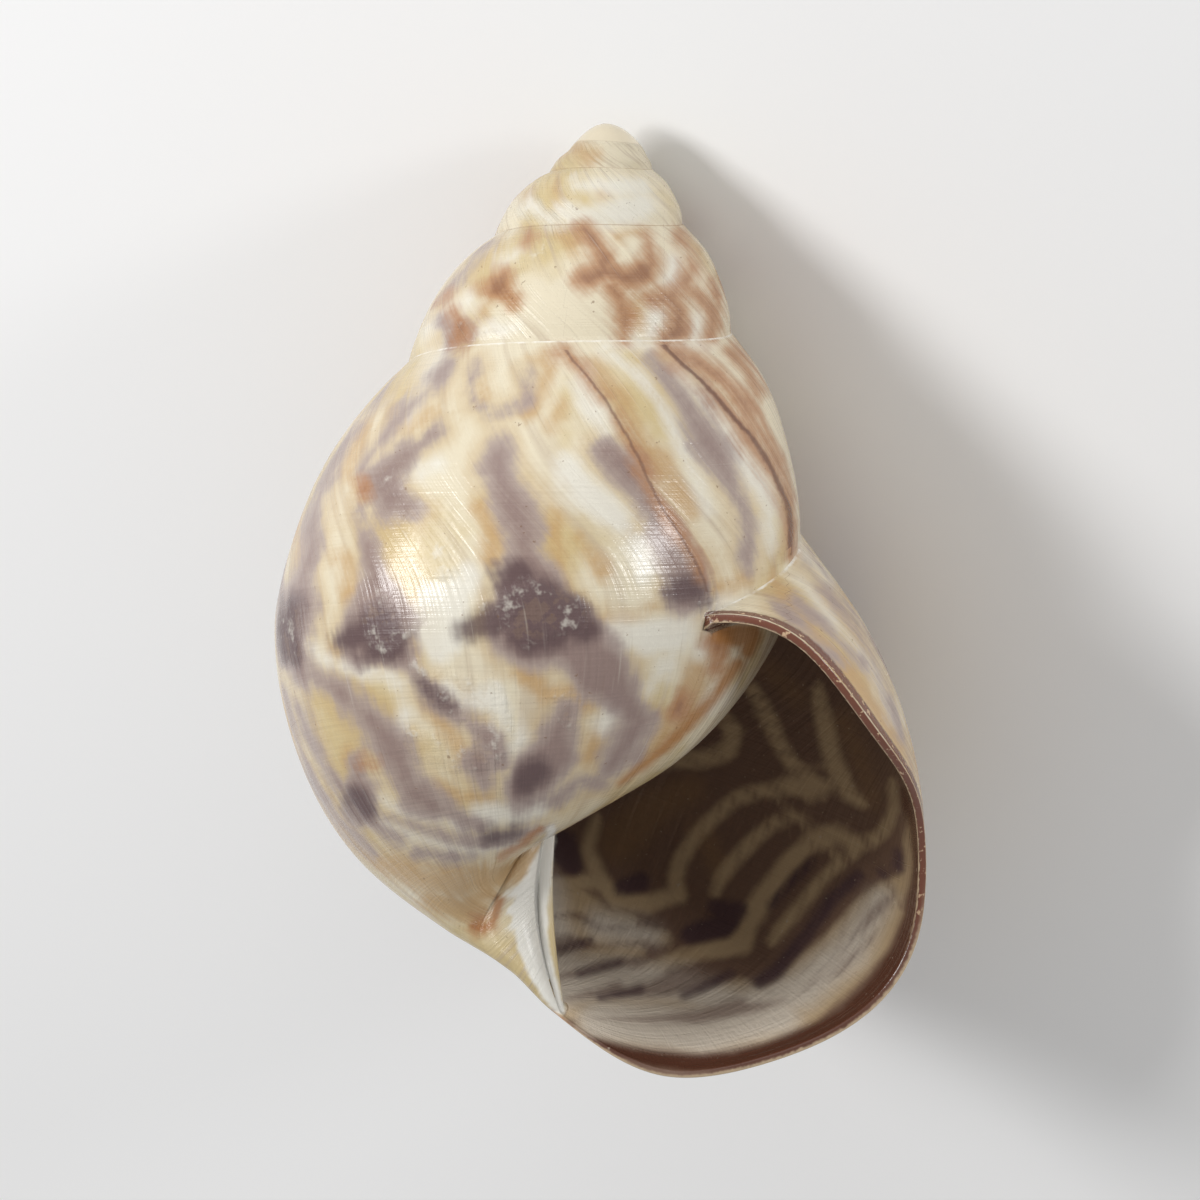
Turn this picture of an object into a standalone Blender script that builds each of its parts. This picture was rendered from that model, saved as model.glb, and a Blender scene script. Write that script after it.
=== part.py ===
"""A tree snail's shell, 50 mm from tip to base, lying on its back with the aperture up.

The shell is one body: a wall grown round and round an axis, hollow from the aperture up into the spire.
Every point of it has a growth, in turns back from the upper corner of the lip, which is at 0, and a share,
from 0 at the suture above it to 1 at the columella. Lengths are in metres.
"""

import bpy
import bmesh
import numpy as np

MM = 0.001

# The suture: its radius and its drop below the tip where the lip meets it, and their growth for each turn
SUTURE_RADIUS = 12.86 * MM
SUTURE_DROP = 22.02 * MM
RADIUS_GROWTH = (0.454, -0.0322)
DROP_GROWTH = (0.6526, -0.0329)
# The last stretch of the suture leaves the spiral and runs down towards the base
LAST_DROP = 2.5 * MM
LAST_DROP_TURNS = 0.16
LAST_DROP_POWER = 1.2
LIP_CORNER_ANGLE = 55.0

# The whorl's profile, as shares of the step from its own suture to the next one, at four growths:
# one turn back, at the left, at the back, and at the lip on the right
STATIONS = np.array([-1.0, -0.653, -0.42, -0.153])
SHARES = np.array([0, 0.105, 0.22, 0.355, 0.455, 0.572, 0.715, 0.858, 1.0])
PROFILE_OUT = np.array([
    [0, 0.44, 0.79, 1.0, 0.97, 0.67, 0.08, -0.71, 0],
    [0, 0.436, 0.774, 0.981, 0.953, 0.662, 0.041, -0.842, 0],
    [0, 0.48, 0.86, 1.09, 1.11, 0.86, 0.15, -0.80, 0],
    [0, 0.558, 0.991, 1.245, 1.319, 1.051, 0.29, -0.71, 0],
])
PROFILE_DOWN = np.array([
    [0, 0.232, 0.576, 1.0, 1.33, 1.71, 2.09, 2.297, 2.36],
    [0, 0.246, 0.55, 0.954, 1.2285, 1.575, 1.929, 2.13, 2.205],
    [0, 0.237, 0.52, 0.89, 1.17, 1.48, 1.76, 1.82, 1.90],
    [0, 0.223, 0.493, 0.825, 1.118, 1.388, 1.597, 1.681, 1.54],
])
SUTURE_SHARE = SHARES[3]
# How far the lip trails behind its upper corner, in degrees, at each share
LIP_LAG = np.array([0, 13, 27, 48, 54, 56, 56, 52, 40])

# The cap over the first whorl is one smooth dome down to the first suture: the square of its radius for its drop
CAP_ROUND = 2.8 * MM
CAP_FROM = 1.5 * MM
CAP_TO = 2.5 * MM

# The columella leans: where its outer edge lies, across and towards the aperture, at these growths
FOOT_GROWTH = np.array([-1.2, -1.0, -0.9, -0.78, -0.68, -0.58, -0.45, -0.3, -0.111])
FOOT_ACROSS = np.array([0, 0.1, -0.9, -1.9, -2.5, -2.0, -0.6, 0.6, 1.67]) * MM
FOOT_FORWARD = np.array([0, 0.5, 0.8, 0.8, 0.6, 0.5, 0.4, 0.3, 0.2]) * MM
FOOT_START = SHARES[6]

# The wall, the thin callus on the whorl before, and the hollow columella side
WALL = 0.5 * MM
CALLUS = 0.15 * MM
WALL_GROWTH = 0.42
LIP_ROUNDING = 0.12 * MM
COLUMELLA_HOLLOW = 1.0 * MM
COLUMELLA_SWELL = 0.75 * MM
HOLLOW_TURNS = 2.5

# The axis and the coils lean a little against each other, as the real shell grew askew
AXIS_LEAN = 0.105
COIL_LEAN = 0.15
LEAN_LEVEL = 2.5 * MM

# The resting pose: which way is down, in the frame of the upright shell, and where the shell's own frame has
# its tip, so that the small worn flat that it lies on is at height 0 and its box is centred over the origin
DOWN = np.array([0.40, 0.812, 0.425])
TIP_PLACE = np.array([0.814, 21.323, 3.43]) * MM

# The mesh: columns a turn, rows above the suture line and below it, and rings down the hollow
COLUMNS = 36
FOOT_STEP = 3
TIP_GROWTH = -188 / 36
UPPER_ROWS = np.array([0, 0.1, 0.28, 0.5, 0.75, 1])
LOWER_ROWS = np.array([0.06, 0.13, 0.22, 0.32, 0.42, 0.52, 0.62, 0.71, 0.79, 0.86, 0.92, 0.965, 1])
RING_STEP = 1 / 22


def smoothstep(x):
    x = np.clip(x, 0, 1)
    return x * x * (3 - 2 * x)


def spline(knots):
    """The weights of a natural cubic spline: a function from places to the share that each knot's value has."""
    count, gaps = len(knots), np.diff(knots)
    left, right = np.eye(count), np.zeros((count, count))
    for i in range(1, count - 1):
        a, b = gaps[i - 1], gaps[i]
        left[i, i - 1 : i + 2] = a, 2 * (a + b), b
        right[i, i - 1 : i + 2] = 6 / a, -6 / a - 6 / b, 6 / b
    bend = np.linalg.solve(left, right)

    def weights(place):
        place = np.clip(np.asarray(place, float), knots[0], knots[-1])
        i = np.clip(np.searchsorted(knots, place, side="right") - 1, 0, count - 2)
        gap = gaps[i]
        b = (place - knots[i]) / gap
        a = 1 - b
        unit = np.eye(count)
        w = a[..., None] * unit[i] + b[..., None] * unit[i + 1]
        w += ((a**3 - a) * gap**2 / 6)[..., None] * bend[i]
        return w + ((b**3 - b) * gap**2 / 6)[..., None] * bend[i + 1]

    return weights


share_weights = spline(SHARES)
foot_weights = spline(FOOT_GROWTH)


def station_slopes(values):
    """The slope of a smooth curve at each station: level at the first, an average inside, free at the last."""
    gaps = np.diff(STATIONS)[:, None]
    rise = np.diff(values, axis=0) / gaps
    inner = (rise[:-1] * gaps[1:] + rise[1:] * gaps[:-1]) / (gaps[1:] + gaps[:-1])
    return np.concatenate([0 * values[:1], inner, 1.5 * rise[-1:] - 0.5 * inner[-1:]])


def between_stations(growth, values):
    """The profile's values at a growth: as at the first station before it, straight on after the last."""
    slopes = station_slopes(values)
    growth = np.asarray(growth, float)[..., None]
    result = values[0] + 0 * growth
    for k in range(len(STATIONS) - 1):
        gap = STATIONS[k + 1] - STATIONS[k]
        x = np.clip((growth - STATIONS[k]) / gap, 0, 1)
        start = (2 * x**3 - 3 * x**2 + 1) * values[k] + (x**3 - 2 * x**2 + x) * gap * slopes[k]
        end = (3 * x**2 - 2 * x**3) * values[k + 1] + (x**3 - x**2) * gap * slopes[k + 1]
        result = np.where(growth > STATIONS[k], start + end, result)
    return result + np.maximum(growth - STATIONS[-1], 0) * slopes[-1]


def suture(growth):
    """The suture's radius and drop on the even spiral: both grow by a factor that itself slowly falls."""
    radius = SUTURE_RADIUS * np.exp(RADIUS_GROWTH[0] * growth + RADIUS_GROWTH[1] * growth**2)
    drop = SUTURE_DROP * np.exp(DROP_GROWTH[0] * growth + DROP_GROWTH[1] * growth**2)
    return radius, drop


def lower_share(growth):
    """The share at which the next whorl is joined on. It sinks over the last stretch before the lip."""
    sunk = LAST_DROP * np.clip(1 + np.minimum(growth + 1, 0) / LAST_DROP_TURNS, 0, None) ** LAST_DROP_POWER
    return SUTURE_SHARE + sunk / (30 * MM)


def profile(growth, share, sunk=True):
    """Radius and drop of the outer surface. Its control points run from this suture towards the next."""
    growth, share = np.broadcast_arrays(np.asarray(growth, float), np.asarray(share, float))
    radius, drop = suture(growth)
    next_radius, next_drop = suture(growth + 1)
    out = radius[..., None] + (next_radius - radius)[..., None] * between_stations(growth, PROFILE_OUT)
    down = drop[..., None] + (next_drop - drop)[..., None] * between_stations(growth, PROFILE_DOWN)
    out[..., -1] = 0
    if sunk:
        last = growth > -LAST_DROP_TURNS
        before = np.where(last, growth - 1, STATIONS[0] - 1)
        top_out, top_down = profile(before, lower_share(before), sunk=False)
        out[..., 0] = np.where(last, top_out, out[..., 0])
        down[..., 0] = np.where(last, top_down, down[..., 0])
    w = share_weights(share)
    return (w * out).sum(-1), (w * down).sum(-1)


def angle(growth):
    """From the right-hand side, round through the side with the aperture."""
    return np.radians(LIP_CORNER_ANGLE + 360 * np.asarray(growth, float))


def place(growth, radius, drop, share):
    """Across, towards the viewer of the aperture, and down. Near the columella the coil follows its lean."""
    lean = smoothstep((share - FOOT_START) / (1 - FOOT_START)) ** 1.5
    w = foot_weights(growth)
    across = radius * np.cos(angle(growth)) + lean * (w * FOOT_ACROSS).sum(-1)
    forward = radius * np.sin(angle(growth)) + lean * (w * FOOT_FORWARD).sum(-1)
    return np.stack(np.broadcast_arrays(across, forward, drop), -1)


def surface(growth, share, depth=0.0):
    """A point of the outer surface, or one set in by a depth along the profile's own normal."""
    growth, share, depth = np.broadcast_arrays(*[np.asarray(v, float) for v in (growth, share, depth)])
    radius, drop = profile(growth, share)
    step = 0.001
    radius_a, drop_a = profile(growth, np.clip(share - step, 0, 1))
    radius_b, drop_b = profile(growth, np.clip(share + step, 0, 1))
    length = np.hypot(radius_b - radius_a, drop_b - drop_a)
    radius = radius - depth * (drop_b - drop_a) / length
    drop = drop + depth * (radius_b - radius_a) / length
    cap = 1 - smoothstep((drop - CAP_FROM) / (CAP_TO - CAP_FROM))
    radius = radius + cap * (np.sqrt(CAP_ROUND * np.maximum(drop, 0)) - radius)
    return place(growth, radius, drop, share)


def lag(share):
    """How many turns the lip trails behind its upper corner."""
    return (share_weights(share) * LIP_LAG).sum(-1) / 360


def hollow_ring(depth, lip_shares, foot_count, wall_shares):
    """One ring of the hollow, so many turns in from the lip: corner, outer wall, columella, inner wall."""
    opened = smoothstep(depth / 0.10)
    size = np.exp(-WALL_GROWTH * depth)
    joined = lower_share(np.array(-1 - depth))
    end = 0.993 - 0.012 * opened - 0.02 * smoothstep(depth)
    start = 0.004 + 0.026 * smoothstep(depth / 0.05)
    shares = np.append(lip_shares[1:], 1.0)
    thinned = 1 - 0.5 * smoothstep((shares - 0.9) / 0.1) * (1 - opened)
    wall = WALL * (0.85 + 0.15 * opened) * size * thinned
    outer = surface(-lag(shares) - depth, start + (end - start) * shares, wall)
    first = joined + 0.020 + 0.026 * smoothstep(depth / 0.08)
    low = lower_share(np.array(-1.0))
    shares = np.append(end, first + (wall_shares - low) * (end - first) / (1 - low))
    raised = CALLUS * (0.15 + 0.85 * smoothstep(depth / 0.06)) * size
    inner = surface(-1.01 - depth, shares, -raised)
    corner = surface(np.array([-1 - depth]), first, -(0.12 * MM * size + raised))
    f = np.linspace(0, 1, foot_count)[:, None]
    turned = angle(-lag(1.0) * (1 - f[:, 0]) - depth)
    outward = np.stack([np.cos(turned), np.sin(turned), 0 * turned], -1)
    hollow = COLUMELLA_HOLLOW * (1 - 0.5 * opened) * size**1.5
    columella = outer[-1] * (1 - f) + inner[0] * f - hollow * np.sin(np.pi * f) * outward
    return np.concatenate([corner, outer[:-1], columella, inner[1:]])


def shell_mesh():
    """Points, quads and triangles of the whole closed wall."""
    upper, low = len(UPPER_ROWS) - 1, lower_share(np.array(-1.0))
    shares = np.concatenate([UPPER_ROWS * low, low + (1 - low) * LOWER_ROWS])
    rows, columns = len(shares) - 1, round(-TIP_GROWTH * COLUMNS)
    turn_back = columns - COLUMNS
    index = -np.ones((columns + 1, rows + 1), int)

    # The spire shows each whorl down to the suture where the next one covers it
    growth = TIP_GROWTH + np.arange(turn_back) / COLUMNS
    spire = surface(growth[:, None], np.outer(lower_share(growth), UPPER_ROWS[:-1])).reshape(-1, 3)
    index[:turn_back, :upper] = np.arange(len(spire)).reshape(turn_back, upper)

    # The last whorl shows its whole profile, from one turn back to the trailing lip
    growth = -1 + np.linspace(0, 1, COLUMNS + 1)[:, None] * (1 - lag(shares))
    own = np.ones(growth.shape, bool)
    own[0, upper] = False
    own[:, rows] = np.arange(COLUMNS + 1) % FOOT_STEP == 0
    last = surface(growth[own], np.broadcast_to(shares, growth.shape)[own])
    numbers = -np.ones(growth.shape, int)
    numbers[own] = len(spire) + np.arange(len(last))
    index[turn_back:] = numbers
    index[: turn_back + 1, upper] = index[COLUMNS:, 0]

    quads, triangles = [], []

    def grid(a):
        quads.append(np.stack([a[:-1, :-1], a[1:, :-1], a[1:, 1:], a[:-1, 1:]], -1).reshape(-1, 4))

    grid(index[: turn_back + 1, : upper + 1])
    grid(index[turn_back:, :rows])

    # At the columella the rows meet a line with one point for every few columns
    above, foot = index[turn_back:, rows - 1], index[turn_back::FOOT_STEP, rows]
    meets = FOOT_STEP // 2 + 1
    nearest = (np.arange(COLUMNS) + meets) // FOOT_STEP
    triangles.append(np.stack([above[:-1], above[1:], foot[nearest]], -1))
    change = np.arange(1, len(foot))
    triangles.append(np.stack([above[change * FOOT_STEP - meets], foot[change], foot[change - 1]], -1))

    # The edge of the aperture: along the lip, up the columella, and up the whorl before
    lip, wall = index[-1, :rows], index[turn_back, rows - 1 : upper : -1]
    edge = np.concatenate([lip, foot[::-1], wall])
    depths = np.concatenate([[0, 0.012, 0.03], np.arange(0.06, HOLLOW_TURNS, RING_STEP)])
    rings = [hollow_ring(d, shares[:rows], len(foot), shares[rows - 1 : upper : -1]) for d in depths]
    points = np.concatenate([spire, last])
    rim = (points[edge] + rings[0]) / 2
    turned = angle(-lag(shares[:rows]))
    forward = np.stack([-np.sin(turned), np.cos(turned), 0 * turned], -1)
    rim[:rows] += LIP_ROUNDING * forward * np.clip(shares[:rows] / 0.05, 0, 1)[:, None]
    f = np.linspace(0, 1, len(foot))
    rim[rows : rows + len(foot), 1] += COLUMELLA_SWELL * np.abs(np.sin(np.pi * f)) ** 0.7
    loops = [edge]
    for ring in [rim] + rings:
        loops.append(len(points) + np.arange(len(edge)))
        points = np.concatenate([points, ring])
    loops = np.array(loops)
    beside = np.roll(loops, -1, axis=1)
    quads.append(np.stack([loops[:-1], loops[1:], beside[1:], beside[:-1]], -1).reshape(-1, 4))

    # The far end of the hollow is closed across, from its corner to its columella
    half = (len(edge) + 1) // 2
    a, b = loops[-1, 1:half], loops[-1, :-half:-1]
    triangles.append([[loops[-1, 0], b[0], a[0]]])
    quads.append(np.stack([a[:-1], b[:-1], b[1:], a[1:]], -1))
    if len(edge) % 2 == 0:
        triangles.append([[a[-1], b[-1], loops[-1, half]]])

    # The tip is a low cone over the first turn
    start = np.concatenate([index[:COLUMNS, 0], index[0, upper:0:-1]])
    tip = points[start].mean(axis=0)
    tip[2] = 0
    triangles.append(np.stack([np.roll(start, -1), start, np.full(len(start), len(points))], -1))
    return np.vstack([points, tip]), np.concatenate(quads), np.concatenate(triangles)


def laid_down(points):
    """From across, forward and down to the resting pose: x and y level, z up, the tip towards +y."""
    across, forward, down = points.T
    down = down - LEAN_LEVEL
    upright = np.stack([across - AXIS_LEAN * down, -forward, -(down + COIL_LEAN * across)], -1)
    up = -DOWN / np.linalg.norm(DOWN)
    tip = np.array([0.0, 0.0, 1.0])
    ahead = tip - up * up[2]
    ahead /= np.linalg.norm(ahead)
    turned = upright @ np.stack([np.cross(ahead, up), ahead, up], -1)
    return turned + TIP_PLACE


def worn_flat(mesh):
    """Cuts the back level at the surface that the shell lies on, and closes the cut."""
    edit = bmesh.new()
    edit.from_mesh(mesh)
    everything = edit.verts[:] + edit.edges[:] + edit.faces[:]
    plane = {"plane_co": (0, 0, 0), "plane_no": (0, 0, -1), "dist": 1e-7}
    level = bmesh.ops.bisect_plane(edit, geom=everything, clear_outer=True, **plane)
    cut = [part for part in level["geom_cut"] if isinstance(part, bmesh.types.BMEdge)]
    bmesh.ops.holes_fill(edit, edges=cut, sides=0)
    bmesh.ops.triangulate(edit, faces=edit.faces[:])
    edit.to_mesh(mesh)
    edit.free()


def shell_material():
    material = bpy.data.materials.new("glossy cream shell")
    material.use_nodes = True
    finish = material.node_tree.nodes["Principled BSDF"]
    finish.inputs["Base Color"].default_value = (0.62, 0.50, 0.34, 1)
    finish.inputs["Roughness"].default_value = 0.28
    finish.inputs["Metallic"].default_value = 0.0
    return material


for old in list(bpy.data.objects):
    bpy.data.objects.remove(old)

collection = bpy.data.collections.new("snail shell")
bpy.context.scene.collection.children.link(collection)
points, quads, triangles = shell_mesh()
shell_data = bpy.data.meshes.new("shell")
shell_data.from_pydata(laid_down(points).tolist(), [], quads.tolist() + triangles.tolist())
worn_flat(shell_data)
shell_data.shade_smooth()
shell_data.set_sharp_from_angle(angle=np.radians(50))
shell_data.materials.append(shell_material())
shell = bpy.data.objects.new("shell", shell_data)
collection.objects.link(shell)
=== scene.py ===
import bpy
import numpy as np
from mathutils import Matrix, Vector


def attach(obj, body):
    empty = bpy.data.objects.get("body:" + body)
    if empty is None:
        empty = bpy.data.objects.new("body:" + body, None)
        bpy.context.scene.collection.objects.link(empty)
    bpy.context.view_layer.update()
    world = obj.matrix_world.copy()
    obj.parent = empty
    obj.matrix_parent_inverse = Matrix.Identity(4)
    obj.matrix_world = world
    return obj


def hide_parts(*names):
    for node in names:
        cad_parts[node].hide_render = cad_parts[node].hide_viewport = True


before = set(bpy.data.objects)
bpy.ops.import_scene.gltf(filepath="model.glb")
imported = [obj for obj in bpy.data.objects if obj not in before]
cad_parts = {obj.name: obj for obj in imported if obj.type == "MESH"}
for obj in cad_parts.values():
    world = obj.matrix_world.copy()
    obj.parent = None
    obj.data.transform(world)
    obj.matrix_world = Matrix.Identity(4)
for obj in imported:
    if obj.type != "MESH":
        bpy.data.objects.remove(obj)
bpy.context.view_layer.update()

# The shell: one wall of layered aragonite about half a millimetre thick, glossy outside and glazed
# inside. The snail laid it down at the lip as it turned about the axis, so the spire, the last
# whorl, the lip, the callus, the columella and the hollow are one piece.

# Every point has a growth, in turns back from the upper corner of the finished lip, and a share of
# the whorl's profile, from 0 at the suture above it to 1 at the columella. Lengths are in
# millimetres until it is laid down.
SUTURE_RADIUS = 12.86
SUTURE_DROP = 22.02
RADIUS_GROWTH = (0.454, -0.0322)
DROP_GROWTH = (0.6526, -0.0329)
LAST_DROP = 2.5
LAST_DROP_TURNS = 0.16
LAST_DROP_POWER = 1.2
DROP_A_SHARE = 30
LIP_CORNER_ANGLE = 55.0
STATIONS = np.array([-1.0, -0.653, -0.42, -0.153])
SHARES = np.array([0, 0.105, 0.22, 0.355, 0.455, 0.572, 0.715, 0.858, 1.0])
PROFILE_OUT = np.array([
    [0, 0.44, 0.79, 1.0, 0.97, 0.67, 0.08, -0.71, 0],
    [0, 0.436, 0.774, 0.981, 0.953, 0.662, 0.041, -0.842, 0],
    [0, 0.48, 0.86, 1.09, 1.11, 0.86, 0.15, -0.80, 0],
    [0, 0.558, 0.991, 1.245, 1.319, 1.051, 0.29, -0.71, 0],
])
PROFILE_DOWN = np.array([
    [0, 0.232, 0.576, 1.0, 1.33, 1.71, 2.09, 2.297, 2.36],
    [0, 0.246, 0.55, 0.954, 1.2285, 1.575, 1.929, 2.13, 2.205],
    [0, 0.237, 0.52, 0.89, 1.17, 1.48, 1.76, 1.82, 1.90],
    [0, 0.223, 0.493, 0.825, 1.118, 1.388, 1.597, 1.681, 1.54],
])
SUTURE_SHARE = SHARES[3]
CAP_ROUND = 2.8
CAP_FROM = 1.5
CAP_TO = 2.5
LIP_LAG = np.array([0, 13, 27, 48, 54, 56, 56, 52, 40])
FOOT_GROWTH = np.array([-1.2, -1.0, -0.9, -0.78, -0.68, -0.58, -0.45, -0.3, -0.111])
FOOT_ACROSS = np.array([0, 0.1, -0.9, -1.9, -2.5, -2.0, -0.6, 0.6, 1.67])
FOOT_FORWARD = np.array([0, 0.5, 0.8, 0.8, 0.6, 0.5, 0.4, 0.3, 0.2])
FOOT_START = SHARES[6]
FOOT_EASE = 1.5
SHARE_STEP = 0.001


def smoothstep(x):
    """Eases from 0 to 1: three x squared less two x cubed."""
    x = np.clip(x, 0, 1)
    return x * x * (3 - 2 * x)


def spline(knots):
    """The weights of a natural cubic spline: what share each knot's value has at a place."""
    count, gaps = len(knots), np.diff(knots)
    left, right = np.eye(count), np.zeros((count, count))
    for i in range(1, count - 1):
        a, b = gaps[i - 1], gaps[i]
        left[i, i - 1 : i + 2] = a, 2 * (a + b), b
        right[i, i - 1 : i + 2] = 6 / a, -6 / a - 6 / b, 6 / b
    bend = np.linalg.solve(left, right)
    unit = np.eye(count)

    def weights(place):
        place = np.clip(np.asarray(place, float), knots[0], knots[-1])
        i = np.clip(np.searchsorted(knots, place, side="right") - 1, 0, count - 2)
        gap = gaps[i]
        b = (place - knots[i]) / gap
        a = 1 - b
        w = a[..., None] * unit[i] + b[..., None] * unit[i + 1]
        w += ((a**3 - a) * gap**2 / 6)[..., None] * bend[i]
        return w + ((b**3 - b) * gap**2 / 6)[..., None] * bend[i + 1]

    return weights


share_weights = spline(SHARES)
foot_weights = spline(FOOT_GROWTH)


def between_stations(growth, values):
    """A Hermite curve through the stations' values, level before them and straight on after."""
    gaps = np.diff(STATIONS)[:, None]
    rise = np.diff(values, axis=0) / gaps
    inner = (rise[:-1] * gaps[1:] + rise[1:] * gaps[:-1]) / (gaps[1:] + gaps[:-1])
    slopes = np.concatenate([0 * values[:1], inner, 1.5 * rise[-1:] - 0.5 * inner[-1:]])
    growth = np.asarray(growth, float)[..., None]
    result = values[0] + 0 * growth
    for k in range(len(STATIONS) - 1):
        gap = STATIONS[k + 1] - STATIONS[k]
        x = np.clip((growth - STATIONS[k]) / gap, 0, 1)
        start = (2 * x**3 - 3 * x**2 + 1) * values[k] + (x**3 - 2 * x**2 + x) * gap * slopes[k]
        end = (3 * x**2 - 2 * x**3) * values[k + 1] + (x**3 - x**2) * gap * slopes[k + 1]
        result = np.where(growth > STATIONS[k], start + end, result)
    return result + np.maximum(growth - STATIONS[-1], 0) * slopes[-1]


def suture(growth):
    """Radius and drop of the even spiral: e to the power of a falling rate times the growth."""
    radius = SUTURE_RADIUS * np.exp(RADIUS_GROWTH[0] * growth + RADIUS_GROWTH[1] * growth**2)
    drop = SUTURE_DROP * np.exp(DROP_GROWTH[0] * growth + DROP_GROWTH[1] * growth**2)
    return radius, drop


def lower_share(growth):
    """The share at which the next whorl is joined on. It sinks over the last stretch."""
    along = np.clip(1 + np.minimum(growth + 1, 0) / LAST_DROP_TURNS, 0, None)
    return SUTURE_SHARE + LAST_DROP * along**LAST_DROP_POWER / DROP_A_SHARE


def profile(growth, share, sunk=True):
    """Radius and drop: a spline over control points that run from this suture towards the next."""
    growth, share = np.broadcast_arrays(np.asarray(growth, float), np.asarray(share, float))
    radius, drop = suture(growth)
    next_radius, next_drop = suture(growth + 1)
    spread, fall = (next_radius - radius)[..., None], (next_drop - drop)[..., None]
    out = radius[..., None] + spread * between_stations(growth, PROFILE_OUT)
    down = drop[..., None] + fall * between_stations(growth, PROFILE_DOWN)
    out[..., -1] = 0
    if sunk:
        last = growth > -LAST_DROP_TURNS
        before = np.where(last, growth - 1, STATIONS[0] - 1)
        top_out, top_down = profile(before, lower_share(before), sunk=False)
        out[..., 0] = np.where(last, top_out, out[..., 0])
        down[..., 0] = np.where(last, top_down, down[..., 0])
    w = share_weights(share)
    return (w * out).sum(-1), (w * down).sum(-1)


def angle(growth):
    """From the right-hand side, round through the side with the aperture."""
    return np.radians(LIP_CORNER_ANGLE + 360 * np.asarray(growth, float))


def place(growth, radius, drop, share):
    """Across, forward and down: round the axis, and near the foot round the columella's lean."""
    lean = smoothstep((share - FOOT_START) / (1 - FOOT_START)) ** FOOT_EASE
    w = foot_weights(growth)
    across = radius * np.cos(angle(growth)) + lean * (w * FOOT_ACROSS).sum(-1)
    forward = radius * np.sin(angle(growth)) + lean * (w * FOOT_FORWARD).sum(-1)
    return np.stack(np.broadcast_arrays(across, forward, drop), -1)


def surface(growth, share, depth=0.0):
    """A point of the outer surface, or one set in by a depth along the profile's own normal. Over
    the first whorl it is a dome, where the square of the radius is a length times the drop."""
    values = [np.asarray(value, float) for value in (growth, share, depth)]
    growth, share, depth = np.broadcast_arrays(*values)
    radius, drop = profile(growth, share)
    radius_a, drop_a = profile(growth, np.clip(share - SHARE_STEP, 0, 1))
    radius_b, drop_b = profile(growth, np.clip(share + SHARE_STEP, 0, 1))
    length = np.hypot(radius_b - radius_a, drop_b - drop_a)
    radius = radius - depth * (drop_b - drop_a) / length
    drop = drop + depth * (radius_b - radius_a) / length
    cap = 1 - smoothstep((drop - CAP_FROM) / (CAP_TO - CAP_FROM))
    radius = radius + cap * (np.sqrt(CAP_ROUND * np.maximum(drop, 0)) - radius)
    return place(growth, radius, drop, share)


def lag(share):
    """How many turns the lip trails behind its upper corner, at each share."""
    return (share_weights(share) * LIP_LAG).sum(-1) / 360


# The surface is a grid: columns by growth, rows by share, and rings of the hollow by depth in turns
COLUMNS = 240
ALL_COLUMNS = 1104
FOOT_STEP = 4
TIP_GROWTH = -ALL_COLUMNS / COLUMNS
WALL = 0.5
CALLUS = 0.15
WALL_GROWTH = 0.42
LIP_ROUNDING = 0.12
COLUMELLA_HOLLOW = 1.0
COLUMELLA_SWELL = 0.75
UPPER_ROWS = np.linspace(0, 1, 33) ** 1.25
FOOT_ROWS = 0.9 + 0.1 * np.linspace(0, 1, 8)[1:] ** 0.85
LOWER_ROWS = np.concatenate([np.linspace(0, 0.9, 61)[1:], FOOT_ROWS])
LIP_RINGS = [0, 0.004, 0.009, 0.015, 0.022]
NEAR_RINGS, FAR_RINGS = np.arange(0.03, 0.5, 1 / 220), np.arange(0.51, 2.5, 1 / 30)
RING_DEPTHS = np.concatenate([LIP_RINGS, NEAR_RINGS, FAR_RINGS])
RIM_BENDS = np.radians([30, 60, 90, 120, 150])
DOME_SCALES = (0.8, 0.6, 0.4, 0.2)
OPENING = 0.10
LIP_EASE = 0.05
CALLUS_EASE = 0.06
JOIN_EASE = 0.08
LIP_THINNING = 0.9
CORNER_DEPTH = 0.12
FIRST_SHARE, LAST_SHARE = 0.004, 0.993
CALLUS_START = 0.020
CALLUS_GROWTH = -1.01


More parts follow.
